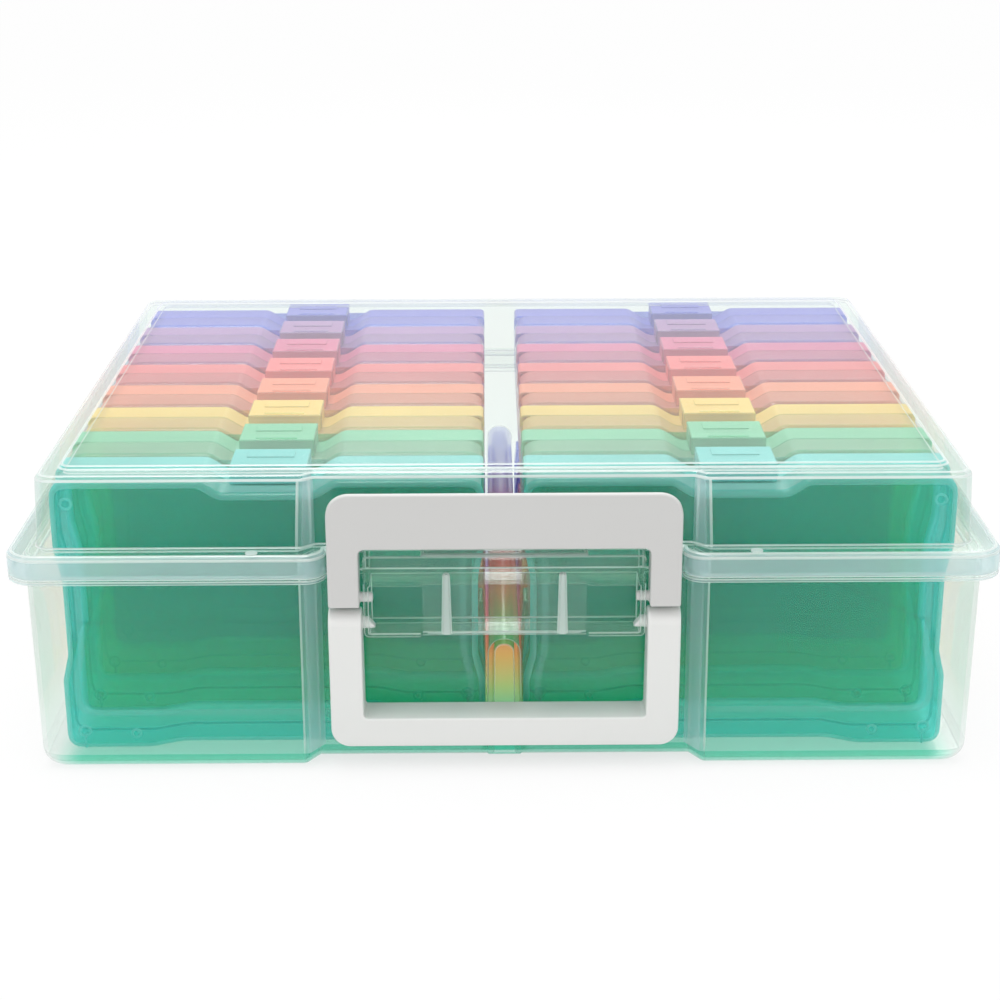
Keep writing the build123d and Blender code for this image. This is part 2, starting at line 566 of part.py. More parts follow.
# ---------------------------------------------------------------- inner photo cases
def case_front(form, inset=0.0):
    """Front view of a case about its centre line: wider foot, arched base, dip at the top."""
    shoulder, foot_z, waist_z, top_chamfer = form
    half = CASE_HALF - inset
    foot_half = half + shoulder
    low, high = CASE_BOTTOM_Z + inset, CASE_TOP_Z - inset
    right = [
        (CASE_ARCH_HALF, low + CASE_ARCH_RISE),
        (CASE_ARCH_HALF + CASE_ARCH_RUN, low),
        (foot_half, low),
        (foot_half, foot_z - inset),
        (half, waist_z - inset),
        (half, high),
        (NOTCH_HALF + NOTCH_RUN + inset, high),
        (NOTCH_HALF + inset, high - NOTCH_DEPTH),
    ]
    left = [(-x, z) for x, z in reversed(right)]
    face = make_face(Polyline(*right, *left, close=True))
    if inset:
        return face    # square inside: the chamfers leave these corners about a wall thick
    face = chamfer(near(face.vertices(), x=foot_half, y=low), CASE_FOOT_CHAMFER)
    return chamfer(near(face.vertices(), x=half, y=high), top_chamfer)


def case_half(form):
    """Shallow open box: rim on the plane y = 0, face towards -Y."""
    depth = CASE_THICKNESS / 2 - CASE_GAP / 2
    hollow = front_slab(case_front(form, CASE_WALL), 0, depth - CASE_WALL)
    return front_slab(case_front(form), 0, depth) - hollow


def case_cover():
    """Front half of a case, with the catch that its tray's snap tab closes over."""
    floor_z = CASE_TOP_Z - NOTCH_DEPTH
    ceiling_z = SNAP_TOP_Z - SNAP_WALL - CASE_GAP
    wide = (-CATCH_WIDTH / 2, CATCH_WIDTH / 2)
    catch = block(wide, (-CATCH_LENGTH, 0), (floor_z - CASE_WALL / 2, ceiling_z))
    return Pos(0, -CASE_GAP / 2, 0) * (case_half(COVER_FORM) + catch)


def case_tray():
    """Rear half of a case, with the snap tab on its top edge."""
    half = Rot(0, 0, 180) * case_half(TRAY_FORM)
    floor_z = CASE_TOP_Z - NOTCH_DEPTH
    wide = (-SNAP_WIDTH / 2, SNAP_WIDTH / 2)
    reach = SNAP_LENGTH / 2
    tab = block(wide, (0, reach), (floor_z - CASE_WALL / 2, SNAP_TOP_Z))
    inner = SNAP_WIDTH / 2 - SNAP_WALL
    tab -= block((-inner, inner), (-OVERCUT, reach - SNAP_WALL), (floor_z, SNAP_TOP_Z - SNAP_WALL))
    tab += block(wide, (-reach, 0), (SNAP_TOP_Z - SNAP_WALL, SNAP_TOP_Z))
    return Pos(0, CASE_GAP / 2, 0) * (half + tab)


# ---------------------------------------------------------------- assembly
def write(part, name):
    part.label = name
    export_step(part, f"parts/{name}.step")


def main():
    write(base_tub(), "base_tub")
    write(lid(), "lid")
    write(latch(), "latch")
    write(handle(), "carry_handle")
    cover, tray = case_cover(), case_tray()
    for row, colour in enumerate(COLOURS):
        middle_y = CASE_FRONT_Y + CASE_THICKNESS / 2 + row * CASE_PITCH
        for side, x in (("left", -COLUMN_X), ("right", COLUMN_X)):
            write(Pos(x, middle_y, 0) * cover, f"{colour}_{side}_cover")
            write(Pos(x, middle_y, 0) * tray, f"{colour}_{side}_tray")


main()
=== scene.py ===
"""Photo keeper case: the looks of its clear tub and lid, white latch and handle, and coloured cases."""

from math import cos, pi, radians, sin, tan

import bmesh
import bpy
from mathutils import Matrix, Vector


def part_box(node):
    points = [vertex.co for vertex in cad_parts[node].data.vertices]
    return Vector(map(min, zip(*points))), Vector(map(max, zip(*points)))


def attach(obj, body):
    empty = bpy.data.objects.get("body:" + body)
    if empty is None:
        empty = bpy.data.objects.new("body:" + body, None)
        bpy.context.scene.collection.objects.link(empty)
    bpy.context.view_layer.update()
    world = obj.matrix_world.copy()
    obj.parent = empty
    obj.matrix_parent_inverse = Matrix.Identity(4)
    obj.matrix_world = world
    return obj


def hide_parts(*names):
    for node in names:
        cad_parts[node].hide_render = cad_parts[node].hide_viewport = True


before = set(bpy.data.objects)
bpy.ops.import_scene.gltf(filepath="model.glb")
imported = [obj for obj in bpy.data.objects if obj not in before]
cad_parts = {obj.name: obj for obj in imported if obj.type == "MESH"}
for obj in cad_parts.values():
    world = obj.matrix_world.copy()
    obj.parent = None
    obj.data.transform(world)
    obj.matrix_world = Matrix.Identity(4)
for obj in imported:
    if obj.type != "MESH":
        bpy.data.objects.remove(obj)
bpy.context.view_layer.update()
MM = 0.001

# ---------------------------------------------------------------- colours and plastics
# the body colours of the inner cases, from the front row to the rear
CASE_COLOURS = {
    "teal": (0.02, 0.84, 0.80),
    "green": (0.06, 0.80, 0.42),
    "yellow": (0.98, 0.86, 0.08),
    "orange": (1.0, 0.32, 0.12),
    "red": (0.98, 0.14, 0.17),
    "pink": (0.79, 0.09, 0.38),
    "purple": (0.41, 0.22, 0.66),
    "blue": (0.09, 0.17, 0.92),
}
CASE_TINT = 0.17         # how strongly one face of a wall tints the light that it lets through
TINT_FLOOR = 0.12        # the least of any colour that it lets through
CASE_BODY = 0.19         # share of the light that one face of a wall scatters
CASE_EDGE = 0.4          # and how much more where it is seen edge on
LIT_TOP_TONE = (1.0, 0.79, 0.80)   # painted light: the tops under the lid, which face the light from above, are painted a little warmer as well as paler
CLEAR_TINT = (0.978, 0.994, 0.985)
CLEAR_WHITE = (0.90, 0.955, 0.935)
CLEAR_BODY = 0.03

# painted coloured light: the colours of the rows painted onto clear plastic and the floor beside them, along
# Y in metres
ROWS_FRONT, ROWS_REAR = -0.1349, 0.1404
ROW_PITCH = 0.0344
ROW_PALE = 0.03          # share of white in them
REAR_PALE = 0.72         # and in those of the last two rows, seen through the lid alone

PORE = 900.0             # scale of the fine moulded grain, per metre
WAVE = 16.0              # scale of the slow unevenness of a moulded wall
SPARK = 1400.0           # scale of the spark-eroded grain of the white plastic
CLOUD = 22.0             # scale of its slight change of shade

# material slots of a clear moulding and of an inner case
SHELL, EDGES, FLANGE, FOOT, SHELL_INSIDE, RIB, BRACKET_EDGES = range(7)
WALL, BENDS, INSIDE, RAIL, TOP = range(5)

# ---------------------------------------------------------------- sizes, in mm
# inner cases
CASE_HALF = 82.2         # half width at the waist
CASE_FULL_HALF = 84.9    # and at the foot and the top
CASE_TOP = 117.6
CASE_CORNER = 7.5        # upper corners of a cover
TRAY_CORNER = 2.5        # and of a tray
CASE_FOOT_CORNER = 6.5
CASE_ARCH_HALF, CASE_ARCH_RUN, CASE_ARCH_RISE = 38.0, 13.0, 2.6
NOTCH_HALF, NOTCH_RUN, NOTCH_DEPTH = 18.0, 8.0, 5.0
WAIST_LOW, WAIST_HIGH = 44.0, 76.5
FULL_LOW, FULL_HIGH = 33.0, 90.0
TRAY_STEP = 46.0
CASE_WALL = 1.2
CASE_GAP = 0.3
CASE_BEND = 2.5          # radius of the front and rear edges
CASE_SOFT = 0.25         # rounding of the rims
# the raised U on a cover's face, and the catch and the tab that snap over each other
RAIL_HALF, RAIL_WAIST = 79.0, 76.2
RAIL_TOP, RAIL_LOW = 106.5, 19.4
RAIL_WIDTH, RAIL_PROUD, RAIL_SOFT = 2.7, 0.25, 0.3
SUNK = 0.02              # how far a raised mark starts inside the face that it stands on
CATCH_HALF, CATCH_TOP = 9.5, 118.4
CASE_GATE_X = 77.2       # gate marks at a cover's lower corners
TAB_TOP = 120.3
TAB_HALF = 15.35

# the floor under the case, in metres from its middle
UNDER_HALF_X, UNDER_HALF_Y = 0.186, 0.148

# zones of the clear mouldings
FOOT_TOP = 7.2
RIB_HALF, RIB_TOP, RIB_END = 7.4, 70.0, 131.0   # the hollow rib, and its reach to front and rear
BRACKET_HALF, BRACKET_BACK = 62.0, -141.0
TAB_RIB_X = 22.4         # the thumb tab's two tapered ribs
RECESS_NEAR, RECESS_FAR, RECESS_BACK = 55.0, 78.0, -137.0   # the flared sides of the front recess
FLANGE_X, FLANGE_Y = 187.6, 148.6
GATE_X, GATE_Y, GATE_Z = 97.4, -149.2, 93.4     # gate marks on the lid's flange

FLAT_ANGLE = 0.6         # facets that turn less than this become one face, in degrees
SHARP_ANGLE = 28.0       # edges that turn more than this are rounded


def nodes_of(holder):
    """The emptied node tree of a material or a world."""
    holder.use_nodes = True
    tree = holder.node_tree
    tree.nodes.clear()
    return tree


def add(tree, kind, **values):
    """A shader node with plain values set on its own sockets, or on its own properties."""
    made = tree.nodes.new(kind)
    for key, value in values.items():
        if key in made.inputs:
            made.inputs[key].default_value = value
        else:
            setattr(made, key, value)
    return made


def link(tree, source, target):
    tree.links.new(source, target)


def feed(tree, socket, value):
    """Links the socket if the value is another node's output, and sets it otherwise."""
    if isinstance(value, bpy.types.NodeSocket):
        link(tree, value, socket)
    else:
        socket.default_value = value


def maths(tree, operation, *values):
    node = add(tree, "ShaderNodeMath", operation=operation)
    for socket, value in zip(node.inputs, values):
        feed(tree, socket, value)
    return node.outputs[0]


def mapped(tree, value, start, end, low=0.0, high=1.0, curve="LINEAR"):
    """The value's place between start and end, held there, as a number between low and high."""
    node = add(tree, "ShaderNodeMapRange", interpolation_type=curve)
    for name, number in (("From Min", start), ("From Max", end), ("To Min", low), ("To Max", high)):
        node.inputs[name].default_value = number
    link(tree, value, node.inputs["Value"])
    return node.outputs["Result"]


def colour_mix(tree, share, *colours):
    """Two colours mixed by share, each given as a plain colour or as a socket."""
    node = add(tree, "ShaderNodeMix", data_type="RGBA")
    link(tree, share, next(socket for socket in node.inputs if socket.name == "Factor"))
    for socket, colour in zip((socket for socket in node.inputs if socket.type == "RGBA"), colours):
        feed(tree, socket, colour if isinstance(colour, bpy.types.NodeSocket) else (*colour, 1))
    return next(socket for socket in node.outputs if socket.type == "RGBA")


def shader_mix(tree, share, first, second):
    node = add(tree, "ShaderNodeMixShader")
    feed(tree, node.inputs["Fac"], share)
    link(tree, first, node.inputs[1])
    link(tree, second, node.inputs[2])
    return node.outputs[0]


def noise_of(tree, coordinates, **values):
    noise = add(tree, "ShaderNodeTexNoise", **values)
    link(tree, coordinates.outputs["Object"], noise.inputs["Vector"])
    return noise.outputs["Fac"]


def grain(tree, coordinates, scale, detail, strength, distance):
    """Noise, and the normal of a bump made from it."""
    noise = noise_of(tree, coordinates, Scale=scale, Detail=detail, Roughness=0.55)
    bump = add(tree, "ShaderNodeBump", Strength=strength, Distance=distance)
    link(tree, noise, bump.inputs["Height"])
    return noise, bump.outputs["Normal"]


def mirror_share(tree, least, most, normal):
    """How much of the light a smooth face mirrors: little straight on, most at a glance."""
    weight = add(tree, "ShaderNodeLayerWeight", Blend=0.5)
    link(tree, normal, weight.inputs["Normal"])
    glance = maths(tree, "POWER", weight.outputs["Facing"], 5.0)
    return maths(tree, "MULTIPLY_ADD", glance, most - least, least)


def row_light_ramp(tree, depth, ahead=0.0):
    """The colours of the rows from front to rear, each blended with the next, palest at the rear: the
    colours of their painted coloured light.
    """
    ramp = add(tree, "ShaderNodeValToRGB")
    stops = ramp.color_ramp.elements
    rows = list(CASE_COLOURS.values())
    while len(stops) < len(rows):
        stops.new(0.5)
    for index, colour in enumerate(rows):
        behind = rows[min(index + 1, len(rows) - 1)]
        pale = ROW_PALE if index < len(rows) - 2 else REAR_PALE
        stops[index].position = (index + 0.5) / len(rows)
        stops[index].color = (*[pale + (1 - pale) * (a + b) / 2 for a, b in zip(colour, behind)], 1)
    link(tree, mapped(tree, depth, ROWS_FRONT - ahead, ROWS_REAR - ahead), ramp.inputs["Fac"])
    return ramp.outputs["Color"]


def seen_as_backdrop(tree):
    """1 for a ray that should meet a plain white studio: from the camera, a mirror or glass."""
    path = add(tree, "ShaderNodeLightPath").outputs
    seen = maths(tree, "MAXIMUM", path["Is Camera Ray"], path["Is Glossy Ray"])
    return maths(tree, "MAXIMUM", seen, path["Is Transmission Ray"])


def painted_row_light(tree, coordinates, shaders, tint, strength, ahead):
    """Paints the colours of the rows onto clear plastic beside the cases as painted coloured light from
    them, less so at the very bottom.
    """
    apart = add(tree, "ShaderNodeSeparateXYZ")
    link(tree, coordinates.outputs["Object"], apart.inputs[0])
    row = row_light_ramp(tree, apart.outputs["Y"], ahead)
    beside = mapped(tree, maths(tree, "ABSOLUTE", apart.outputs["X"]), 0.182, 0.170)
    rise = mapped(tree, apart.outputs["Z"], 0.0005, 0.007, strength * 0.4, strength)
    share = maths(tree, "MULTIPLY", beside, rise)
    for shader in shaders:
        link(tree, colour_mix(tree, share, tint, row), shader.inputs["Color"])


def see_through(
    name, tint, body, body_share, edge_share, gloss, mirror,
    row_light_share=0, ahead=0.0, glance_mirror=0.8, through_share=0.5,
):
    """Thin moulded plastic: it lets tinted light through, scatters some itself, and mirrors a little.
    Seen along the wall it is deeper, so there it tints and scatters more. Given a share of row light, it
    also takes painted coloured light in the colours of the rows beside it."""
    material = bpy.data.materials.new(name)
    tree = nodes_of(material)
    out = add(tree, "ShaderNodeOutputMaterial")
    coordinates = add(tree, "ShaderNodeTexCoord")
    wave, wave_normal = grain(tree, coordinates, WAVE, 2.0, 0.08, 0.002)

    glance = add(tree, "ShaderNodeLayerWeight", Blend=0.5)
    edge = maths(tree, "POWER", glance.outputs["Facing"], 3.0)
    see = add(tree, "ShaderNodeBsdfTransparent")
    link(tree, colour_mix(tree, edge, tint, [c**3.0 for c in tint]), see.inputs["Color"])
    wall = see.outputs[0]
    if body_share:
        # wall thickness varies a little, and with it the body
        thick = mapped(tree, wave, 0.3, 0.7, body_share * 0.9, body_share * 1.1)
        depth = maths(tree, "MULTIPLY_ADD", edge, edge_share, thick)
        front = add(tree, "ShaderNodeBsdfDiffuse", Color=(*body, 1))
        through = add(tree, "ShaderNodeBsdfTranslucent", Color=(*body, 1))
        # painted coloured light: the colours of the rows beside it painted into its tint and body
        if row_light_share:
            painted_row_light(tree, coordinates, (see, front, through), tint, row_light_share, ahead)
        scatter = shader_mix(tree, through_share, front.outputs[0], through.outputs[0])
        wall = shader_mix(tree, depth, wall, scatter)

    shine = add(tree, "ShaderNodeBsdfGlossy", Color=(1, 1, 1, 1))
    fine = noise_of(tree, coordinates, Scale=PORE, Detail=1.0)
    link(tree, mapped(tree, fine, 0.0, 1.0, gloss * 0.7, gloss * 1.5), shine.inputs["Roughness"])
    link(tree, wave_normal, shine.inputs["Normal"])
    mirrored = mirror_share(tree, mirror, glance_mirror, wave_normal)
    link(tree, shader_mix(tree, mirrored, wall, shine.outputs[0]), out.inputs["Surface"])
    return material


def white_plastic(name, colour):
    """Opaque moulded plastic with a fine spark-eroded grain."""
    material = bpy.data.materials.new(name)
    tree = nodes_of(material)
    out = add(tree, "ShaderNodeOutputMaterial")
    coordinates = add(tree, "ShaderNodeTexCoord")
    noise, normal = grain(tree, coordinates, SPARK, 3.0, 0.22, 0.0001)
    cloud = noise_of(tree, coordinates, Scale=CLOUD, Detail=3.0)
    plastic = add(tree, "ShaderNodeBsdfPrincipled", IOR=1.46)
    shade = colour_mix(tree, cloud, [c * 0.98 for c in colour], colour)
    link(tree, shade, plastic.inputs["Base Color"])
    link(tree, mapped(tree, noise, 0.0, 1.0, 0.42, 0.56), plastic.inputs["Roughness"])
    link(tree, normal, plastic.inputs["Normal"])
    link(tree, plastic.outputs[0], out.inputs["Surface"])
    return material


def dress(thing, materials):
    thing.data.materials.clear()
    for material in materials:
        thing.data.materials.append(material)


# ---------------------------------------------------------------- softened copies of the moulded pieces
def softened(node, width, weld, materials):
    """A copy of a moulded piece with its sharp edges rounded, as the mould leaves them. Corners nearer
    to each other than weld become one, so that the rounding doesn't fold there."""
    mesh = bpy.data.meshes.new(node + "_moulded")
    work = bmesh.new()
    work.from_mesh(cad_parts[node].data)
    bmesh.ops.remove_doubles(work, verts=work.verts, dist=weld * MM)
    bmesh.ops.dissolve_limit(
        work, angle_limit=radians(FLAT_ANGLE), verts=work.verts, edges=work.edges, delimit={"NORMAL"}
    )
    for face in work.faces:
        face.material_index = SHELL
    work.to_mesh(mesh)
    work.free()
    mesh.materials.clear()
    for material in materials:
        mesh.materials.append(material)
    piece = bpy.data.objects.new(node + "_moulded", mesh)
    bpy.context.scene.collection.objects.link(piece)
    bevel = piece.modifiers.new("edges", "BEVEL")
    bevel.width = width * MM
    bevel.segments = 3
    bevel.limit_method = "ANGLE"
    bevel.angle_limit = radians(SHARP_ANGLE)
    bevel.use_clamp_overlap = False
    bevel.miter_outer = "MITER_ARC"
    bevel.material = EDGES if len(materials) > 1 else SHELL
    weighted = piece.modifiers.new("normals", "WEIGHTED_NORMAL")
    weighted.keep_sharp = True
    for polygon in mesh.polygons:
        polygon.use_smooth = True
    applied = bpy.data.meshes.new_from_object(
        piece.evaluated_get(bpy.context.evaluated_depsgraph_get())
    )
    piece.modifiers.clear()
    piece.data = applied
    return piece


# ---------------------------------------------------------------- inner photo cases
def rounded(corners):
    """A closed outline whose corners, given as (x, z, radius) anticlockwise, are rounded."""
    outline = []
    count, steps = len(corners), 5
    for index, (x, z, radius) in enumerate(corners):
        here = Vector((x, z))
        before = Vector(corners[index - 1][:2]) - here
        after = Vector(corners[(index + 1) % count][:2]) - here
        turn = pi - before.angle(after)
        reach = min(radius * tan(turn / 2), before.length * 0.49, after.length * 0.49)
        start, end = here + before.normalized() * reach, here + after.normalized() * reach
        if reach < 0.05:
            outline.append(here)
            continue
        for step in range(steps + 1):
            t = step / steps
            outline.append(start * (1 - t) ** 2 + here * 2 * t * (1 - t) + end * t**2)
    return outline


def rounded_line(points):
    """An open line whose inner corners, given as (x, z, radius), are rounded."""
    ends = (0, len(points) - 1)
    return rounded([(x, z, 0 if index in ends else radius) for index, (x, z, radius) in enumerate(points)])


def offset_line(line, offset):
    """The open line moved sideways by the same amount all along."""
    moved = []
    for index, point in enumerate(line):
        way = (line[min(index + 1, len(line) - 1)] - line[max(index - 1, 0)]).normalized()
        moved.append(point + Vector((-way.y, way.x)) * offset)
    return moved


def drawn_in(outline, inset):
    """The outline moved inwards by the same amount all round."""
    moved = []
    count = len(outline)
    for index, point in enumerate(outline):
        way = (outline[(index + 1) % count] - outline[index - 1]).normalized()
        moved.append(point + Vector((-way.y, way.x)) * inset)
    return moved


def case_outline(low, high, stepped):
    """Front view of a case: rounded foot, arched base, waist, and a dip in the top round the tab."""
    full, waist = CASE_FULL_HALF, CASE_HALF
    right = [
        (CASE_ARCH_HALF, low + CASE_ARCH_RISE, 20),
        (CASE_ARCH_HALF + CASE_ARCH_RUN, low, 20),
        (full, low, CASE_FOOT_CORNER),
    ]
    if stepped:
        right += [(full, FULL_LOW + 1, 6), (full - 1, TRAY_STEP, 0.7), (waist, TRAY_STEP, 0.7)]
    else:
        right += [(full, FULL_LOW, 9), (waist, WAIST_LOW, 9)]
    right += [
        (waist, WAIST_HIGH, 14),
        (full, FULL_HIGH, 14),
        (full, high, TRAY_CORNER if stepped else CASE_CORNER),
        (NOTCH_HALF + NOTCH_RUN, high, 7),
        (NOTCH_HALF, high - NOTCH_DEPTH, 7),
    ]
    left = [(-x, z, radius) for x, z, radius in reversed(right)]
    return rounded(right + left)


def ring(work, outline, middle_x, y):
    return [work.verts.new(((middle_x + point.x) * MM, y * MM, point.y * MM)) for point in outline]


def bridge(work, first, second, slot, flip):
    for index in range(len(first)):
        ahead = (index + 1) % len(first)
        corners = [first[index], first[ahead], second[ahead], second[index]]
        face = work.faces.new(reversed(corners) if flip else corners)
        face.material_index = slot
        face.smooth = True


def half_case(work, outline, middle_x, rim_y, depth, way):
    """A shallow thin-walled box with a rounded front edge; way is -1 for a cover, +1 for a tray."""
    flip = way > 0
    bend, wall, soft = CASE_BEND, CASE_WALL, CASE_SOFT
    turns = [radians(90 * step / 4) for step in range(1, 5)]
    # how far each ring stands from the rim and inside the outline, and the slot of the band before the next
    stations = [(0, soft, BENDS), (soft, 0, BENDS), (depth - bend, 0, WALL)]
    stations += [(depth - bend + bend * sin(a), bend * (1 - cos(a)), BENDS) for a in turns]
    inner_bend = bend - wall
    inner = [
        (depth - bend + inner_bend * sin(a), wall + inner_bend * (1 - cos(a)), INSIDE)
        for a in reversed(turns)
    ]
    inner += [(depth - bend, wall, INSIDE), (soft, wall, INSIDE), (0, wall - soft, BENDS)]
    rings = [
        (ring(work, drawn_in(outline, inset), middle_x, rim_y + way * y), slot)
        for y, inset, slot in stations + inner
    ]
    outer_count = len(stations)
    for index in range(len(rings) - 1):
        if index != outer_count - 1:
            bridge(work, rings[index][0], rings[index + 1][0], rings[index + 1][1], flip)
    bridge(work, rings[-1][0], rings[0][0], BENDS, flip)
    for index, turned, slot in ((outer_count - 1, flip, WALL), (outer_count, not flip, INSIDE)):
        loop = rings[index][0]
        face = work.faces.new(list(reversed(loop)) if turned else loop)
        face.material_index = slot
        face.smooth = True


def rail(work, middle_x, y, way):
    """The raised U on a case's face: up both sides along the waist, and straight across above the foot."""
    half, waist = RAIL_HALF, RAIL_WAIST
    side = [(half, RAIL_TOP), (half, 99.0), (waist, 84.0), (waist, 46.0), (half, 35.0)]
    path = [(x, z, 14) for x, z in side] + [(half, RAIL_LOW, 7)]
    path += [(-x, z, radius) for x, z, radius in reversed(path)]
    line = rounded_line(path)
    edge = RAIL_WIDTH / 2
    rows = [(-edge, -SUNK), (RAIL_SOFT - edge, RAIL_PROUD), (edge - RAIL_SOFT, RAIL_PROUD), (edge, -SUNK)]
    loops = [
        [
            work.verts.new(((middle_x + p.x) * MM, (y + way * rise) * MM, p.y * MM))
            for p in offset_line(line, offset)
        ]
        for offset, rise in rows
    ]
    for first, second in zip(loops, loops[1:]):
        for index in range(len(first) - 1):
            face = work.faces.new([first[index], first[index + 1], second[index + 1], second[index]])
            face.material_index = RAIL
            face.smooth = True


def zoned(piece):
    """Gives the parts of a clear moulding, such as its foot, flanges and inner walls, their own slots."""
    for polygon in piece.data.polygons:
        x, y, z = polygon.center / MM
        across, way = abs(x), polygon.normal
        edge = polygon.material_index == EDGES
        at_bracket = y < BRACKET_BACK and across < BRACKET_HALF
        at_rib = across < RIB_HALF and abs(y) < RIB_END and z < RIB_TOP
        tab_rib = abs(across - TAB_RIB_X) < 2.2 and abs(way.z) < 0.9 and polygon.area < 1e-4
        # edges behind the latch's window and beside the thumb tab that barely show, so they keep the plain
        # shell without the edges' partly painted highlight
        faint_edge = 82 < z < 92 or (z < 79 and 30 < across < 33.5)
        if z < FOOT_TOP:
            polygon.material_index = FOOT
        elif at_rib:
            polygon.material_index = RIB
        elif at_bracket and tab_rib:
            polygon.material_index = EDGES
        elif edge and at_bracket and faint_edge:
            polygon.material_index = SHELL
        elif edge and (at_bracket or (across < RIB_HALF + 1 and z < RIB_TOP)):
            polygon.material_index = BRACKET_EDGES
        elif polygon.material_index == SHELL:
            recess_side = RECESS_NEAR < across < RECESS_FAR and y < RECESS_BACK and abs(way.x) > 0.35
            flange = (across > FLANGE_X or abs(y) > FLANGE_Y) and across > BRACKET_HALF
            inner_wall = abs(way.z) < 0.5 and way.x * x + way.y * y < -20 and across > 20
            floor_or_ceiling = (way.z > 0.8 and z < 12) or (way.z < -0.8 and z > 112)
            if recess_side or flange:
                polygon.material_index = FLANGE
            elif inner_wall or floor_or_ceiling:
                polygon.material_index = SHELL_INSIDE


def slab(work, low, high, bevel, slots=(WALL, BENDS), steps=2):
    """A block with rounded edges, given by its lowest and highest corners in mm."""
    made = bmesh.ops.create_cube(work, size=1.0)["verts"]
    size = [(b - a) * MM for a, b in zip(low, high)]
    middle = [(a + b) / 2 * MM for a, b in zip(low, high)]
    for vertex in made:
        vertex.co = Vector([m + s * c for m, s, c in zip(middle, size, vertex.co)])
    faces = {face for vertex in made for face in vertex.link_faces}
    for face in faces:
        face.material_index = slots[0]
        face.smooth = True
    # each edge once, in the same order each run
    edges = list(dict.fromkeys(edge for vertex in made for edge in vertex.link_edges))
    bmesh.ops.bevel(
        work, geom=edges, offset=bevel * MM, segments=steps, profile=0.5, affect="EDGES", material=slots[1]
    )


def boss(work, x, y, z, radius, proud, way):
    """A small round mark that stands a little proud of a face across Y, with a rounded rim."""
    sides = 28
    rim = [(radius + 0.25, 0.0), (radius, proud * 0.7), (radius - 0.25, proud), (radius - 0.8, proud * 0.45)]
    loops = []
    for reach, out in rim:
        loops.append(
            [
                work.verts.new(
                    (
                        (x + reach * cos(2 * pi * k / sides)) * MM,
                        (y + way * out) * MM,
                        (z + reach * sin(2 * pi * k / sides)) * MM,
                    )
                )
                for k in range(sides)
            ]
        )
    for first, second in zip(loops, loops[1:]):
        bridge(work, first, second, BENDS, way > 0)
    face = work.faces.new(loops[-1] if way < 0 else list(reversed(loops[-1])))
    face.smooth = True


def button(work, x, y, z, radius, proud):
    """A low round gate mark on a face that looks up."""
    sides = 24
    loops = []
    for reach, rise in ((radius, -0.05), (radius, proud * 0.6), (radius - 0.3, proud)):
        loops.append(
            [
                work.verts.new(((x + reach * cos(a)) * MM, (y + reach * sin(a)) * MM, (z + rise) * MM))
                for a in (2 * pi * k / sides for k in range(sides))
            ]
        )
    for first, second in zip(loops, loops[1:]):
        bridge(work, first, second, 0, False)
    work.faces.new(loops[-1]).smooth = True


def finished(work, name, materials):
    """The built form as an object whose large flat faces keep their own direction."""
    bmesh.ops.recalc_face_normals(work, faces=work.faces)
    # upward faces high on the case take the top slot, whose material is painted paler and warmer as lit from
    # above
    for face in work.faces:
        high = face.calc_center_median().z > 100 * MM
        if face.material_index == WALL and face.normal.z > 0.55 and high:
            face.material_index = TOP
    mesh = bpy.data.meshes.new(name)
    work.to_mesh(mesh)
    work.free()
    piece = bpy.data.objects.new(name, mesh)
    bpy.context.scene.collection.objects.link(piece)
    for material in materials:
        mesh.materials.append(material)
    weighted = piece.modifiers.new("normals", "WEIGHTED_NORMAL")
    weighted.weight = 90
    applied = bpy.data.meshes.new_from_object(piece.evaluated_get(bpy.context.evaluated_depsgraph_get()))
    piece.modifiers.clear()
    piece.data = applied
    return piece


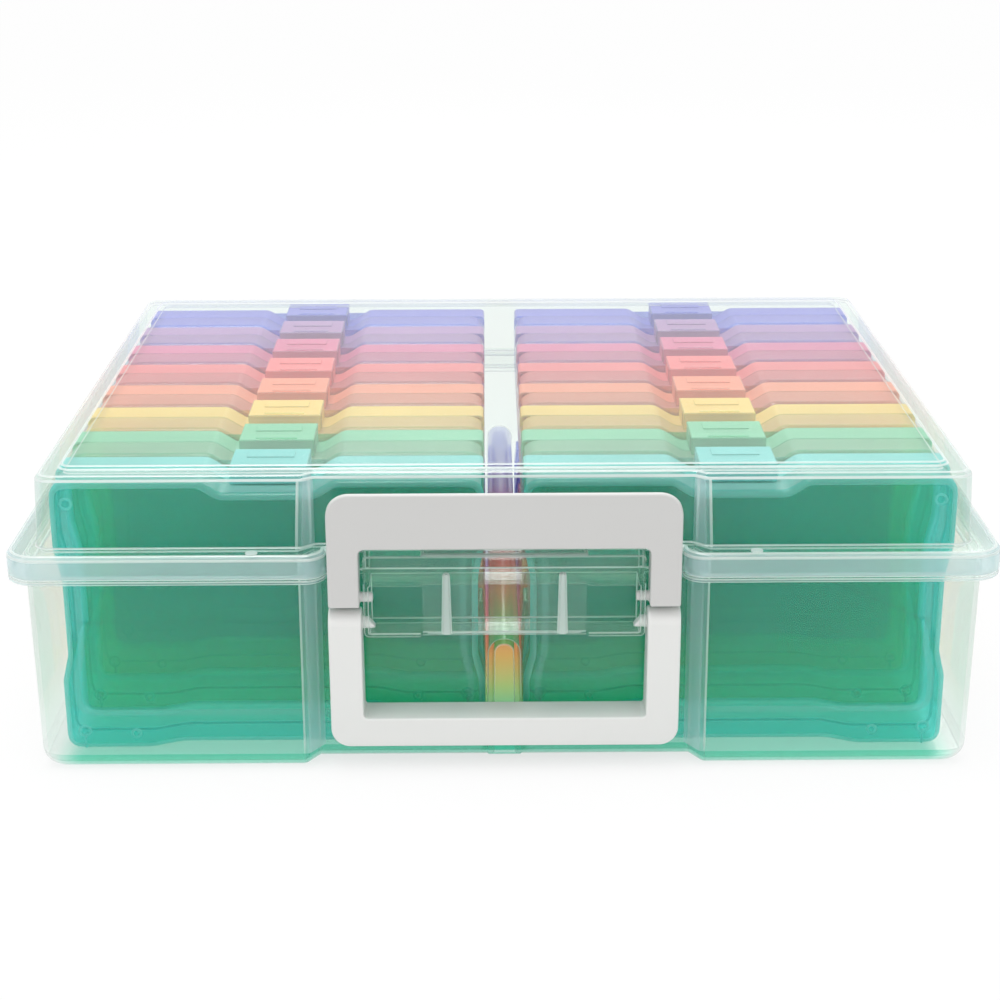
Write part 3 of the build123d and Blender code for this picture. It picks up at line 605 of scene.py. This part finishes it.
def inner_case(colour, side, materials):
    cover, tray = f"{colour}_{side}_cover", f"{colour}_{side}_tray"
    (left, front, low), (right, cover_rim, high) = (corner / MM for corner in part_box(cover))
    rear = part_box(tray)[1].y / MM
    middle_x = (left + right) / 2
    tray_rim = cover_rim + CASE_GAP

    work = bmesh.new()
    half_case(work, case_outline(low, CASE_TOP, False), middle_x, cover_rim, cover_rim - front, -1)
    rail(work, middle_x, front, -1)
    marks = ((78.0, 109.0, 2.4, 0.2), (CASE_GATE_X, 11.4, 2.5, 0.2), (56.5, 10.2, 2.0, 0.15))
    for way in (-1, 1):
        for x, z, radius, proud in marks:
            boss(work, middle_x + way * x, front, z, radius, proud, -1)
    # the slabs come last: a bevel frees the places of its old faces in another order each run
    for gate in (middle_x - CASE_GATE_X, middle_x + CASE_GATE_X):
        near, far = (gate - 0.5, front - 0.2, low + 0.6), (gate + 0.5, front + 0.1, 10.6)
        slab(work, near, far, 0.09, (BENDS, BENDS), 1)
    near = (middle_x - CATCH_HALF, cover_rim - 5, CASE_TOP - NOTCH_DEPTH)
    slab(work, near, (middle_x + CATCH_HALF, cover_rim - 0.2, CATCH_TOP), 0.5)
    piece = finished(work, cover + "_moulded", materials["cover"])
    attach(piece, "tub_with_cases")
    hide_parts(cover)

    work = bmesh.new()
    half_case(work, case_outline(low, CASE_TOP, True), middle_x, tray_rim, rear - tray_rim, 1)
    # the tab that snaps over the cover: a flat top on four thin walls, with a raised field and a bar
    tab_front, tab_rear = tray_rim - 6.6, rear - 0.7
    foot, under = CASE_TOP - NOTCH_DEPTH, TAB_TOP - 1.55
    # lowest and highest corner, rounding and slot of each plate
    plates = [
        ((-TAB_HALF, tab_front, TAB_TOP - 1.5), (TAB_HALF, tab_rear, TAB_TOP), 0.45, TOP),
        ((-15.2, tab_rear - 1.5, foot), (15.2, tab_rear, under), 0.3, TOP),
        ((-15.3, tab_front, foot + 0.4), (15.3, tab_front + 1.1, TAB_TOP - 0.6), 0.3, TOP),
        ((-9.5, tab_rear - 11.5, TAB_TOP + SUNK), (9.5, tab_rear - 4.3, TAB_TOP + 0.45), 0.2, TOP),
        ((-8.5, tab_front + 1.0, TAB_TOP + SUNK), (8.5, tab_front + 2.6, TAB_TOP + 0.4), 0.18, BENDS),
    ]
    plates += [
        ((x - 0.7, tray_rim + 0.1, foot), (x + 0.7, tab_rear - 1.6, under), 0.25, TOP) for x in (-14.6, 14.6)
    ]
    for near, far, soft, slot in plates:
        slab(work, (middle_x + near[0], *near[1:]), (middle_x + far[0], *far[1:]), soft, (slot, BENDS))
    piece = finished(work, tray + "_moulded", materials["tray"])
    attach(piece, "tub_with_cases")
    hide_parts(tray)


# ---------------------------------------------------------------- materials
# the slots of a clear moulding: shell, edges, flange, foot, inside, rib and bracket edges
clear = [
    see_through("clear_shell", CLEAR_TINT, CLEAR_WHITE, CLEAR_BODY, 0.15, 0.06, 0.015),
    # the rounded edges scatter far more white than the shell: milky where the plastic is seen along it, and
    # partly a painted highlight along them
    see_through("clear_shell_edges", (0.96, 0.99, 0.98), (0.97, 0.99, 0.98), 0.7, 0.2, 0.10, 0.06),
    see_through("clear_flange", (0.93, 0.98, 0.985), (0.84, 0.94, 0.98), 0.30, 0.2, 0.08, 0.03),
    # the foot takes painted coloured light in the colours of the rows beside it
    see_through("clear_foot", CLEAR_TINT, CLEAR_WHITE, 0.18, 0.15, 0.07, 0.015, row_light_share=0.69),
    see_through("clear_shell_inside", CLEAR_TINT, CLEAR_WHITE, 0, 0, 0.06, 0.01, glance_mirror=0.2),
    # and the rib too, painted with the colours of the rows one row further back
    see_through("clear_rib", CLEAR_TINT, CLEAR_WHITE, 0.38, 0.3, 0.07, 0.015, 1.0, ROW_PITCH),
    # the edges at the bracket and the rib likewise, milky and partly a painted highlight, less strongly
    see_through("clear_bracket_edges", (0.96, 0.99, 0.98), (0.93, 0.98, 0.96), 0.4, 0.2, 0.10, 0.05),
]
white = {
    "latch": [white_plastic("latch_white", (0.585, 0.58, 0.57))],
    "carry_handle": [white_plastic("handle_white", (0.75, 0.75, 0.735))],
}


def paler(colour, share):
    return tuple(c + (1 - c) * share for c in colour)


def lit_top_colour(colour, share):
    """The body colour of the tops under the lid, painted paler and a little warmer for the light that falls
    on them from above.
    """
    return tuple(c * warm for c, warm in zip(paler(colour, share), LIT_TOP_TONE))


def case_materials(colour, body):
    """The slots of a cover and of a tray: wall, bends, inside, rail and top, the top a copy of the wall
    painted paler as lit from above.
    """
    tint = [max(c, TINT_FLOOR) ** CASE_TINT for c in body]
    walls = [
        see_through(colour + "_case", tint, body, CASE_BODY, CASE_EDGE, 0.14, 0.01),
        see_through(colour + "_case_edges", tint, paler(body, 0.2), 0.45, 0.3, 0.14, 0.04),
        see_through(colour + "_case_inside", tint, body, 0, 0, 0.14, 0.005),
        see_through(colour + "_case_rail", tint, paler(body, 0.35), 0.26, 0.3, 0.14, 0.02),
    ]
    lists = {}
    # each half's top, a lit copy of its wall: how much paler it is painted, its body share and its
    # translucent share
    for half, pale, share, through in (("cover", 0.34, 0.55, 0.3), ("tray", 0.22, 0.78, 0.2)):
        name, lit_top_body = f"{colour}_{half}_top", lit_top_colour(body, pale)
        top = see_through(
            name, tint, lit_top_body, share, 0.2, 0.18, 0.01, glance_mirror=0.3, through_share=through
        )
        lists[half] = walls + [top]
    return lists


coloured = {colour: case_materials(colour, body) for colour, body in CASE_COLOURS.items()}

for name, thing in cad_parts.items():
    if name in ("base_tub", "lid"):
        dress(thing, clear)
    elif name in ("latch", "carry_handle"):
        dress(thing, white[name])
    else:
        colour, _, half = name.split("_")
        dress(thing, coloured[colour][half])

# name, body, width of the rounded edges and distance for joining corners, in mm
for name, body, width, weld in (
    ("base_tub", "tub_with_cases", 0.5, 0.02),
    ("lid", "hinged_lid", 0.6, 0.02),
    ("latch", "snap_latch", 0.8, 0.02),
    ("carry_handle", "handle", 0.8, 0.2),
):
    materials = white.get(name, clear)
    piece = softened(name, width, weld, materials)
    if materials is clear:
        zoned(piece)
    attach(piece, body)
    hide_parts(name)

for colour in CASE_COLOURS:
    for side in ("left", "right"):
        inner_case(colour, side, coloured[colour])

gates = bmesh.new()
for x in (-GATE_X, GATE_X):
    button(gates, x, GATE_Y, GATE_Z, 2.4, 0.5)
piece = finished(gates, "lid_gate_marks", [clear[EDGES]])
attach(piece, "hinged_lid")

# ---------------------------------------------------------------- floor, light and camera
floor_mesh = bpy.data.meshes.new("floor")
floor_form = bmesh.new()
bmesh.ops.create_grid(floor_form, x_segments=8, y_segments=8, size=6.0)
floor_form.to_mesh(floor_mesh)
floor_form.free()
floor = bpy.data.objects.new("floor", floor_mesh)
floor.location.z = -0.0002
bpy.context.scene.collection.objects.link(floor)

# the floor glows studio white for camera rays; under the case it glows less, a painted light from below that
# lets part of the real shadow show, and under the hollow rib it glows dimmer in the colours of the rows,
# painted coloured light
floor_paint = bpy.data.materials.new("studio_floor")
tree = nodes_of(floor_paint)
out = add(tree, "ShaderNodeOutputMaterial")
matt = add(tree, "ShaderNodeBsdfDiffuse", Color=(0.88, 0.88, 0.88, 1))
glow = add(tree, "ShaderNodeEmission", Color=(1, 1, 1, 1), Strength=1.0)
where = add(tree, "ShaderNodeTexCoord")
apart = add(tree, "ShaderNodeSeparateXYZ")
link(tree, where.outputs["Object"], apart.inputs[0])
across = maths(tree, "ABSOLUTE", apart.outputs["X"])
along = maths(tree, "ABSOLUTE", apart.outputs["Y"])
outside = maths(tree, "MAXIMUM", *[
    maths(tree, "SUBTRACT", reach, half) for reach, half in ((across, UNDER_HALF_X), (along, UNDER_HALF_Y))
])
fade = mapped(tree, outside, -0.012, 0.006, 0.7, 0.93, "SMOOTHSTEP")
beyond_rib = maths(tree, "GREATER_THAN", along, RIB_END * MM)
rib_edge = (RIB_HALF * MM, (RIB_HALF + 3) * MM)
brightness = maths(tree, "MAXIMUM", mapped(tree, across, *rib_edge, 0.8, 1.0, "SMOOTHSTEP"), beyond_rib)
whiteness = maths(tree, "MAXIMUM", mapped(tree, across, *rib_edge, 0.0, 1.0, "SMOOTHSTEP"), beyond_rib)
# painted coloured light: the glow under the rib takes the colours of the rows above it
painted_row_light_under_rib = row_light_ramp(tree, apart.outputs["Y"], -ROW_PITCH * 0.4)
link(tree, colour_mix(tree, whiteness, painted_row_light_under_rib, (1, 1, 1)), glow.inputs["Color"])
glow_share = maths(tree, "MULTIPLY", seen_as_backdrop(tree), maths(tree, "MULTIPLY", fade, brightness))
link(tree, shader_mix(tree, glow_share, matt.outputs[0], glow.outputs[0]), out.inputs["Surface"])
dress(floor, [floor_paint])

world = bpy.data.worlds.new("studio")
bpy.context.scene.world = world
tree = nodes_of(world)
out = add(tree, "ShaderNodeOutputWorld")
dome = add(tree, "ShaderNodeBackground", Color=(1, 1, 1, 1), Strength=0.95)
white_back = add(tree, "ShaderNodeBackground", Color=(1, 1, 1, 1), Strength=1.0)
sky = shader_mix(tree, seen_as_backdrop(tree), dome.outputs[0], white_back.outputs[0])
link(tree, sky, out.inputs["Surface"])


def lamp(name, place, target, size, watts):
    light = bpy.data.lights.new(name, "AREA")
    light.shape = "RECTANGLE"
    light.size, light.size_y = size
    light.energy = watts
    thing = bpy.data.objects.new(name, light)
    thing.location = place
    thing.rotation_euler = (Vector(target) - Vector(place)).to_track_quat("-Z", "Y").to_euler()
    bpy.context.scene.collection.objects.link(thing)


lamp("overhead_softbox", (-0.15, -0.15, 1.3), (0, 0, 0.1), (0.7, 0.5), 8)
lamp("rear_softbox", (0.2, 1.3, 0.9), (0, 0, 0.1), (0.9, 0.5), 4)

camera = bpy.data.objects.new("camera", bpy.data.cameras.new("camera"))
camera.data.lens = 72.15
camera.data.sensor_width = 36.0
camera.data.clip_start = 0.05
place = Matrix.Translation((-0.006, -0.870, 0.370))
turn = Matrix.Rotation(radians(-0.35), 4, "Z") @ Matrix.Rotation(radians(70.5), 4, "X")
camera.matrix_world = place @ turn @ Matrix.Rotation(radians(-0.18), 4, "Z")
bpy.context.scene.collection.objects.link(camera)
bpy.context.scene.camera = camera

scene = bpy.context.scene
scene.view_settings.view_transform = "Standard"
scene.cycles.transparent_max_bounces = 96
scene.cycles.max_bounces = 10
scene.cycles.diffuse_bounces = 3
scene.cycles.glossy_bounces = 3
scene.cycles.transmission_bounces = 6
scene.cycles.caustics_reflective = False
scene.cycles.caustics_refractive = False
